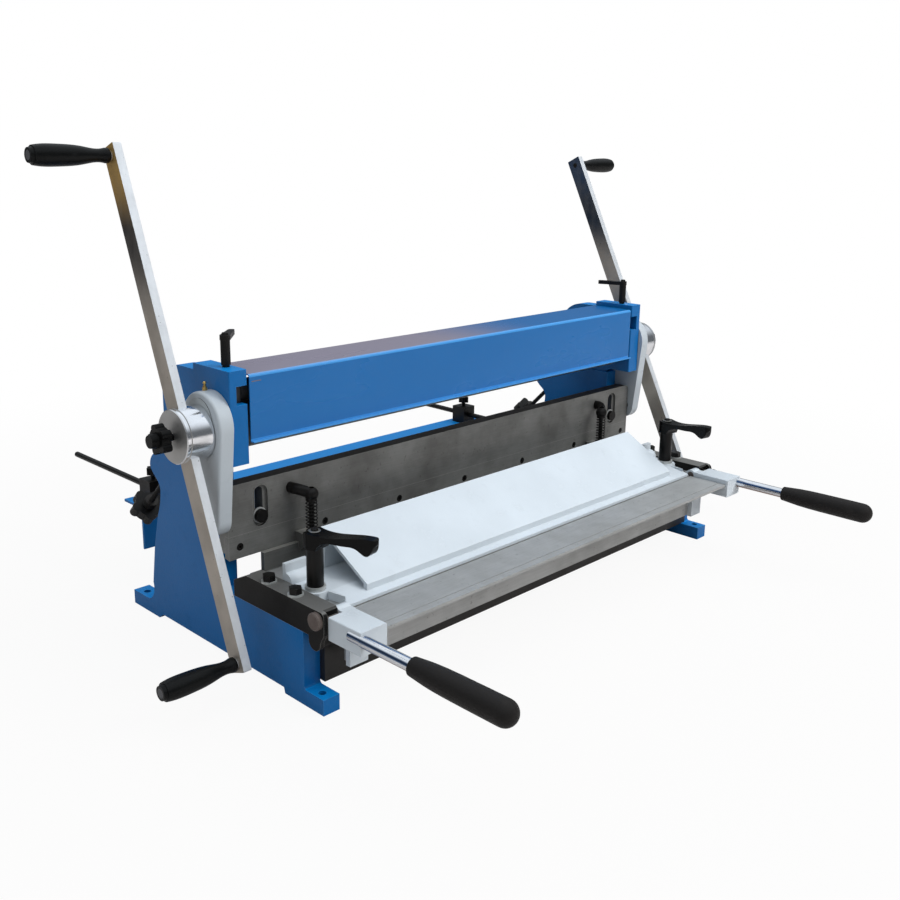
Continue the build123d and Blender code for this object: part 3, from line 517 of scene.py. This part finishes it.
class SheetMetalSettings(bpy.types.PropertyGroup):
    """Colours and sizes that a user would change."""

    frame_blue: FloatVectorProperty(
        name="Frame blue", description="Enamel of the stands, heads and guard", subtype="COLOR",
        size=4, default=srgb(8, 103, 170), min=0, max=1)
    part_white: FloatVectorProperty(
        name="Part white", description="Enamel of the clamp bar, rods and brackets", subtype="COLOR",
        size=4, default=srgb(206, 214, 220), min=0, max=1)
    lever_bolt_height: FloatProperty(
        name="Lever bolt height", description="Height of the bolt head on each clamp lever",
        subtype="DISTANCE", unit="LENGTH", default=3.4 * MM, min=1 * MM, max=6 * MM)


# ---------------------------------------------------------------- pieces

class SHEETMETAL_OT_castings(bpy.types.Operator):
    """Blue enamel on the stands, heads, gauge angle and guard"""

    bl_idname = "sheetmetal.castings"
    bl_label = "Blue castings and guard"

    def execute(self, context):
        blue = tuple(settings().frame_blue)
        thin = srgb(74, 150, 218)
        # top: painted reflection, a paler blue on the upper faces of the castings
        cast = enamel("blue_enamel", blue, thin, texture_size=240, texture_depth=0.6 * MM,
                      roughness=0.32, top=srgb(14, 132, 208))
        dress(cast, *both("stand", "head"), "gauge_angle")
        low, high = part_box("guard")
        dress(guard_paint(blue, srgb(76, 156, 222), low, high), "guard")
        return {"FINISHED"}


class SHEETMETAL_OT_white_parts(bpy.types.Operator):
    """White enamel on the clamp bar, connecting rods and handle brackets, and the grease nipples"""

    bl_idname = "sheetmetal.white_parts"
    bl_label = "White parts and grease nipples"

    def execute(self, context):
        white = tuple(settings().part_white)
        worn = srgb(232, 236, 238)
        clean = enamel("white_enamel", white, worn, texture_size=320, texture_depth=0.4 * MM,
                       roughness=0.2)
        greyed = enamel("rod_enamel", shade(white, 0.84), worn, texture_size=320,
                        texture_depth=0.4 * MM, roughness=0.24)
        dress(clean, "clamp_bar", *both("bracket"))
        dress(greyed, *both("con_rod"))
        metal = brass()
        dress(metal, *both("nipple"))
        for side in SIDES:
            self.ball(side, metal)
        return {"FINISHED"}

    def ball(self, side, metal):
        """Round greasing head on the nipple's cone."""
        top = middle(f"nipple_{side}")
        top.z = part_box(f"nipple_{side}")[1].z - 0.2 * MM
        profile = in_mm((0, 0), (0, 1.7), (0.8, 1.7), (1.5, 2.7), (2.8, 3.1), (4.1, 2.6), (4.9, 1.3),
                        (5.1, 0))
        add_piece(lathe(profile, top, (0, 0, 1), steps=24), f"nipple_ball_{side}", metal,
                  f"con_rod_{side}")


class SHEETMETAL_OT_shear(bpy.types.Operator):
    """Dark ground steel of the shear beam, blades and hold-down, with its black fittings"""

    bl_idname = "sheetmetal.shear"
    bl_label = "Shear and frame fittings"

    def execute(self, context):
        blade = srgb(138, 138, 135)
        dark = srgb(84, 81, 78)
        # The beam's top colour is a painted reflection: its upper faces are dark.
        beam = ground_steel("blade_steel", blade, dark, grain=500, wear=0.6, top=srgb(40, 37, 35))
        strip = ground_steel("plain_blade_steel", blade, dark, grain=500, wear=0.6)
        # The bar's top colour is a painted highlight on its upper faces.
        bar = ground_steel("hold_down_steel", shade(blade, 0.7), dark, grain=500, wear=0.5,
                           top=srgb(158, 156, 150))
        pin = ground_steel("pin_steel", srgb(122, 110, 104), srgb(78, 66, 60), grain=300, wear=0.5)
        # The blocks' top colour is a painted reflection: their upper faces are pale grey.
        block = ground_steel("block_steel", srgb(25, 23, 21), srgb(16, 14, 13), grain=420, wear=0.5,
                             top=srgb(128, 127, 124))
        dress(beam, "blade_beam")
        dress(strip, "upper_blade", "lower_blade")
        dress(bar, "hold_down_bar")
        dress(pin, "pivot_pins", "clamp_studs")
        dress(block, *both("end_block"))
        self.black_fittings()
        return {"FINISHED"}

    def black_fittings(self):
        """Screws, springs, arms and tubes, some of them with a plated washer or flange."""
        plain = black_oxide("black_oxide", roughness=0.34)
        dress(plain, "blade_screws", "spring_arms", "spring_posts", "gauge_blocks",
              *both("spring", "top_screw"))
        dress(black_oxide("washered_bolts", roughness=0.3, bright=self.bolt_washer), "end_bolts")
        dress(black_oxide("washered_guides", roughness=0.3, bright=self.guide_washer), "guide_bolts")
        dress(black_oxide("flanged_tubes", roughness=0.3, bright=self.tube_flange), "clamp_tubes")

    def bolt_washer(self, look):
        """The end bolts' washers, on top of the end blocks."""
        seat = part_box("end_block_left")[1].z
        return look.between("Z", seat - 0.1 * MM, seat + END_WASHER)

    def guide_washer(self, look):
        """The guide bolts' washers, behind their heads."""
        front, back = GUIDE_WASHER
        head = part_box("guide_bolts")[0].y
        return look.between("Y", head + front, head + back)

    def tube_flange(self, look):
        """The clamp tubes' foot rings."""
        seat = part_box("clamp_tubes")[0].z
        return look.between("Z", seat - 0.1 * MM, seat + TUBE_FLANGE)


class SHEETMETAL_OT_folding_leaf(bpy.types.Operator):
    """Ground table and folding leaf, black bed, chrome rods and their long grips"""

    bl_idname = "sheetmetal.folding_leaf"
    bl_label = "Table and folding leaf"

    def execute(self, context):
        plate = ground_steel("ground_steel", srgb(186, 187, 186), srgb(142, 141, 138), grain=420,
                             wear=0.4)
        dress(plate, "table", "apron")
        dress(black_paint(), "bed_beam", "rear_tie")
        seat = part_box("con_rod_right")[1].x + DRUM_SEAT
        dress(hub_chrome(seat), *both("hub"))
        dress(rod_chrome(), "handle_rods")
        dress(moulded_plastic("handle_plastic", srgb(34, 32, 31), roughness=0.5), "handle_grips")
        return {"FINISHED"}


class SHEETMETAL_OT_levers(bpy.types.Operator):
    """Black clamp levers with a washer and bolt on top"""

    bl_idname = "sheetmetal.levers"
    bl_label = "Clamp levers"

    def execute(self, context):
        dress(moulded_plastic("lever_plastic", srgb(5, 5, 5), roughness=0.2), *both("lever"))
        bright = plated_steel("washer_plate")
        black = black_oxide("lever_bolt_black", roughness=0.3)
        low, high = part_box("clamp_studs")
        stud_radius = (high.y - low.y) / 2
        for side, hand in SIDES.items():
            seat = Vector((hand * (high.x - stud_radius), middle("clamp_studs").y, high.z + LEVER_TOP))
            self.washer(side, seat, bright)
            self.bolt(side, seat, black)
        return {"FINISHED"}

    def washer(self, side, seat, metal):
        """Plain washer with a softened rim."""
        profile = in_mm((0.1, 3), (0.1, 9.6), (1.4, 9.8), (1.7, 9.4), (1.7, 3))
        add_piece(lathe(profile, seat, (0, 0, 1)), f"lever_washer_{side}", metal, f"lever_{side}")

    def bolt(self, side, seat, metal):
        """Six-sided head with a chamfered top and a shallow dimple."""
        tall = settings().lever_bolt_height / MM
        profile = in_mm((1.6, 0), (1.6, 6.6), (1.6 + tall * 0.8, 6.6), (1.6 + tall, 5.6),
                        (1.6 + tall, 3.4), (1.0 + tall, 3), (1.0 + tall, 0))
        add_piece(lathe(profile, seat, (0, 0, 1), steps=6), f"lever_bolt_{side}", metal,
                  f"lever_{side}")


class SHEETMETAL_OT_cranks(bpy.types.Operator):
    """Plated crank bars with the ends of their axles, revolving grips and star knobs"""

    bl_idname = "sheetmetal.cranks"
    bl_label = "Crank bars and grips"

    def execute(self, context):
        centre = middle("hub_left").z
        # Painted reflections: amber over a dark band on the left bar, blues on the right bar
        left = bar_steel("left_bar_steel", centre, top=srgb(206, 162, 74), waist=srgb(38, 34, 32))
        right = bar_steel("right_bar_steel", centre, top=srgb(30, 62, 96), waist=srgb(30, 44, 62))
        dress(left, "crank_bar_left")
        dress(right, "crank_bar_right")
        dress(self.grip_plastic(), *both("grip_top", "grip_low"))
        dress(moulded_plastic("knob_plastic", srgb(10, 10, 10), roughness=0.34),
              *both("hub_knob", "thumb"))
        dark = black_oxide("axle_end_black", roughness=0.4)
        for side, hand in SIDES.items():
            for grip in ("grip_top", "grip_low"):
                self.axle_end(grip, side, hand, dark)
        return {"FINISHED"}

    def grip_plastic(self):
        """Grip plastic with the pale cap and dark ring on each end face."""
        look = Look("grip_plastic", Specular_IOR_Level=0.16)
        x, y, z = (look.coordinate(axis) for axis in "XYZ")
        cap, ring = 0, 0
        for grip in both("grip_top", "grip_low"):
            axle = middle(grip)
            away = (y - axle.y) * (y - axle.y) + (z - axle.z) * (z - axle.z)
            cap = (away < GRIP_CAP_RADIUS ** 2) + cap
            ring = (away < GRIP_RING_RADIUS ** 2) + ring
        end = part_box("grip_top_right")[1].x - 0.2 * MM
        face = x * x > end ** 2
        dust = look.noise(60, 5).smooth(0.55, 0.8)
        base = look.mix(dust * 0.15, srgb(12, 13, 13), srgb(40, 41, 42))
        base = look.mix(look.edges(0.8 * MM) * 0.3, base, srgb(52, 52, 54))
        base = look.mix(ring * face, base, srgb(8, 8, 8))
        look.set("Base Color", look.mix(cap * face, base, srgb(84, 84, 86)))
        look.set("Roughness", 0.32 + dust * 0.15)
        look.set("Normal", look.bump(look.noise(1400, 2), 0.3, 0.3 * MM))
        return look.material

    def axle_end(self, grip, side, hand, metal):
        """Riveted end of the grip's axle on the bar's inner face."""
        low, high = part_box(f"crank_bar_{side}")
        place = middle(f"{grip}_{side}")
        place.x = high.x if hand < 0 else low.x
        profile = in_mm((-0.4, 0), (-0.4, 5.6), (0.5, 5.4), (0.8, 4.6), (0.3, 3.6), (0.2, 0))
        add_piece(lathe(profile, place, (-hand, 0, 0), steps=28), f"{grip}_axle_end_{side}", metal,
                  f"crank_bar_{side}")


class SHEETMETAL_OT_rolls(bpy.types.Operator):
    """Rolls, bearing blocks, adjusting screws and the back gauge's rods"""

    bl_idname = "sheetmetal.rolls"
    bl_label = "Rolls and back gauge"

    def execute(self, context):
        dress(turned_steel("roll_steel", srgb(120, 118, 114)), "main_roll", "pinch_roll", "rear_roll")
        dress(turned_steel("block_iron", srgb(84, 84, 84)), "pinch_blocks", "rear_blocks")
        dress(threaded_black("rear_screw_black", REAR_SCREW_AXIS, REAR_SCREW_PITCH), *both("rear_knob"))
        dress(black_oxide("rod_black", roughness=0.3), "gauge_rods")
        return {"FINISHED"}


class SHEETMETAL_OT_stage(bpy.types.Operator):
    """Pale floor, soft lamps and the photograph's camera"""

    bl_idname = "sheetmetal.stage"
    bl_label = "Stage and camera"

    def execute(self, context):
        self.floor()
        self.world()
        self.lamp("key", (1.7, -2.9, 2.6), size=2.4, power=100)
        self.lamp("top", (0.4, -0.4, 3.4), size=2.6, power=22)
        self.lamp("left", (-3.2, -0.6, 1.4), size=2.0, power=6)
        self.camera()
        return {"FINISHED"}

    def floor(self):
        """Floor that looks white to the camera and keeps a faint shadow."""
        mesh = bmesh.new()
        bmesh.ops.create_grid(mesh, x_segments=2, y_segments=2, size=12)
        data = bpy.data.meshes.new("floor")
        mesh.to_mesh(data)
        mesh.free()
        floor = bpy.data.objects.new("floor", data)
        bpy.context.scene.collection.objects.link(floor)
        material = bpy.data.materials.new("floor_white")
        tree = Tree(material, "ShaderNodeOutputMaterial")
        lit = tree.node("ShaderNodeBsdfDiffuse", {}, {"Color": (0.56, 0.53, 0.51, 1)})
        seen = tree.node("ShaderNodeEmission", {}, {"Color": WHITE, "Strength": 1.0})
        here = tree.node("ShaderNodeTexCoord", {}, {}, "Object")
        far = tree.node("ShaderNodeVectorMath", {"operation": "LENGTH"}, {0: here}, "Value")
        whiteness = 0.93 + far.smooth(0.7, 2.2) * 0.07
        tree.split_by_ray(whiteness, lit, seen)
        data.materials.append(material)

    def world(self):
        """White behind the machine; its light and reflections come from a sky that brightens upward."""
        world = bpy.data.worlds.new("studio")
        bpy.context.scene.world = world
        tree = Tree(world, "ShaderNodeOutputWorld")
        way = tree.node("ShaderNodeTexCoord", {}, {}, "Generated")
        climb = tree.node("ShaderNodeSeparateXYZ", {}, {0: way}, "Z").smooth(0.25, 0.75)
        lit = tree.node("ShaderNodeBackground", {}, {"Color": (0.88, 0.94, 1, 1),
                                                     "Strength": 0.14 + climb * 0.84})
        seen = tree.node("ShaderNodeBackground", {}, {"Color": WHITE, "Strength": 1.0})
        tree.split_by_ray(1.0, lit, seen)

    def lamp(self, name, place, size, power):
        """Round soft lamp that faces the machine and doesn't show in its polished parts."""
        data = bpy.data.lights.new(name, "AREA")
        data.shape = "DISK"
        data.size = size
        data.energy = power
        lamp = bpy.data.objects.new(name, data)
        bpy.context.scene.collection.objects.link(lamp)
        lamp.location = place
        lamp.visible_glossy = False
        aim = Vector(LAMP_AIM) - Vector(place)
        lamp.rotation_euler = aim.to_track_quat("-Z", "Y").to_euler()

    def camera(self):
        """Camera at the photographer's place."""
        data = bpy.data.cameras.new("photo_camera")
        data.sensor_width = SENSOR_MM
        data.lens = LENS_MM
        data.shift_x, data.shift_y = LENS_SHIFT
        data.clip_end = 50
        camera = bpy.data.objects.new("photo_camera", data)
        bpy.context.scene.collection.objects.link(camera)
        camera.location = CAMERA_PLACE
        camera.rotation_euler = [radians(angle) for angle in CAMERA_TURN]
        bpy.context.scene.camera = camera
        bpy.context.scene.view_settings.view_transform = "Standard"


class SHEETMETAL_PT_panel(bpy.types.Panel):
    """Lists the machine's pieces and their settings"""

    bl_idname = "SHEETMETAL_PT_panel"
    bl_label = "Sheet-metal machine"
    bl_space_type = "VIEW_3D"
    bl_region_type = "UI"
    bl_category = "Sheet metal"

    def draw(self, context):
        for key in SheetMetalSettings.__annotations__:
            self.layout.prop(settings(), key)
        for operator in OPERATORS:
            self.layout.operator(operator.bl_idname)


OPERATORS = (SHEETMETAL_OT_castings, SHEETMETAL_OT_white_parts, SHEETMETAL_OT_shear,
             SHEETMETAL_OT_folding_leaf, SHEETMETAL_OT_levers, SHEETMETAL_OT_cranks,
             SHEETMETAL_OT_rolls, SHEETMETAL_OT_stage)
CLASSES = (SheetMetalSettings, *OPERATORS, SHEETMETAL_PT_panel)


def register():
    """Add the operators, the panel and the settings to Blender."""
    for each in CLASSES:
        bpy.utils.register_class(each)
    bpy.types.Scene.sheet_metal_machine = PointerProperty(type=SheetMetalSettings)


def unregister():
    """Take them out again."""
    del bpy.types.Scene.sheet_metal_machine
    for each in reversed(CLASSES):
        bpy.utils.unregister_class(each)


def main():
    """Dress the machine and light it."""
    register()
    bpy.ops.sheetmetal.castings()
    bpy.ops.sheetmetal.white_parts()
    bpy.ops.sheetmetal.shear()
    bpy.ops.sheetmetal.folding_leaf()
    bpy.ops.sheetmetal.levers()
    bpy.ops.sheetmetal.cranks()
    bpy.ops.sheetmetal.rolls()
    bpy.ops.sheetmetal.stage()


if __name__ == "__main__":
    main()
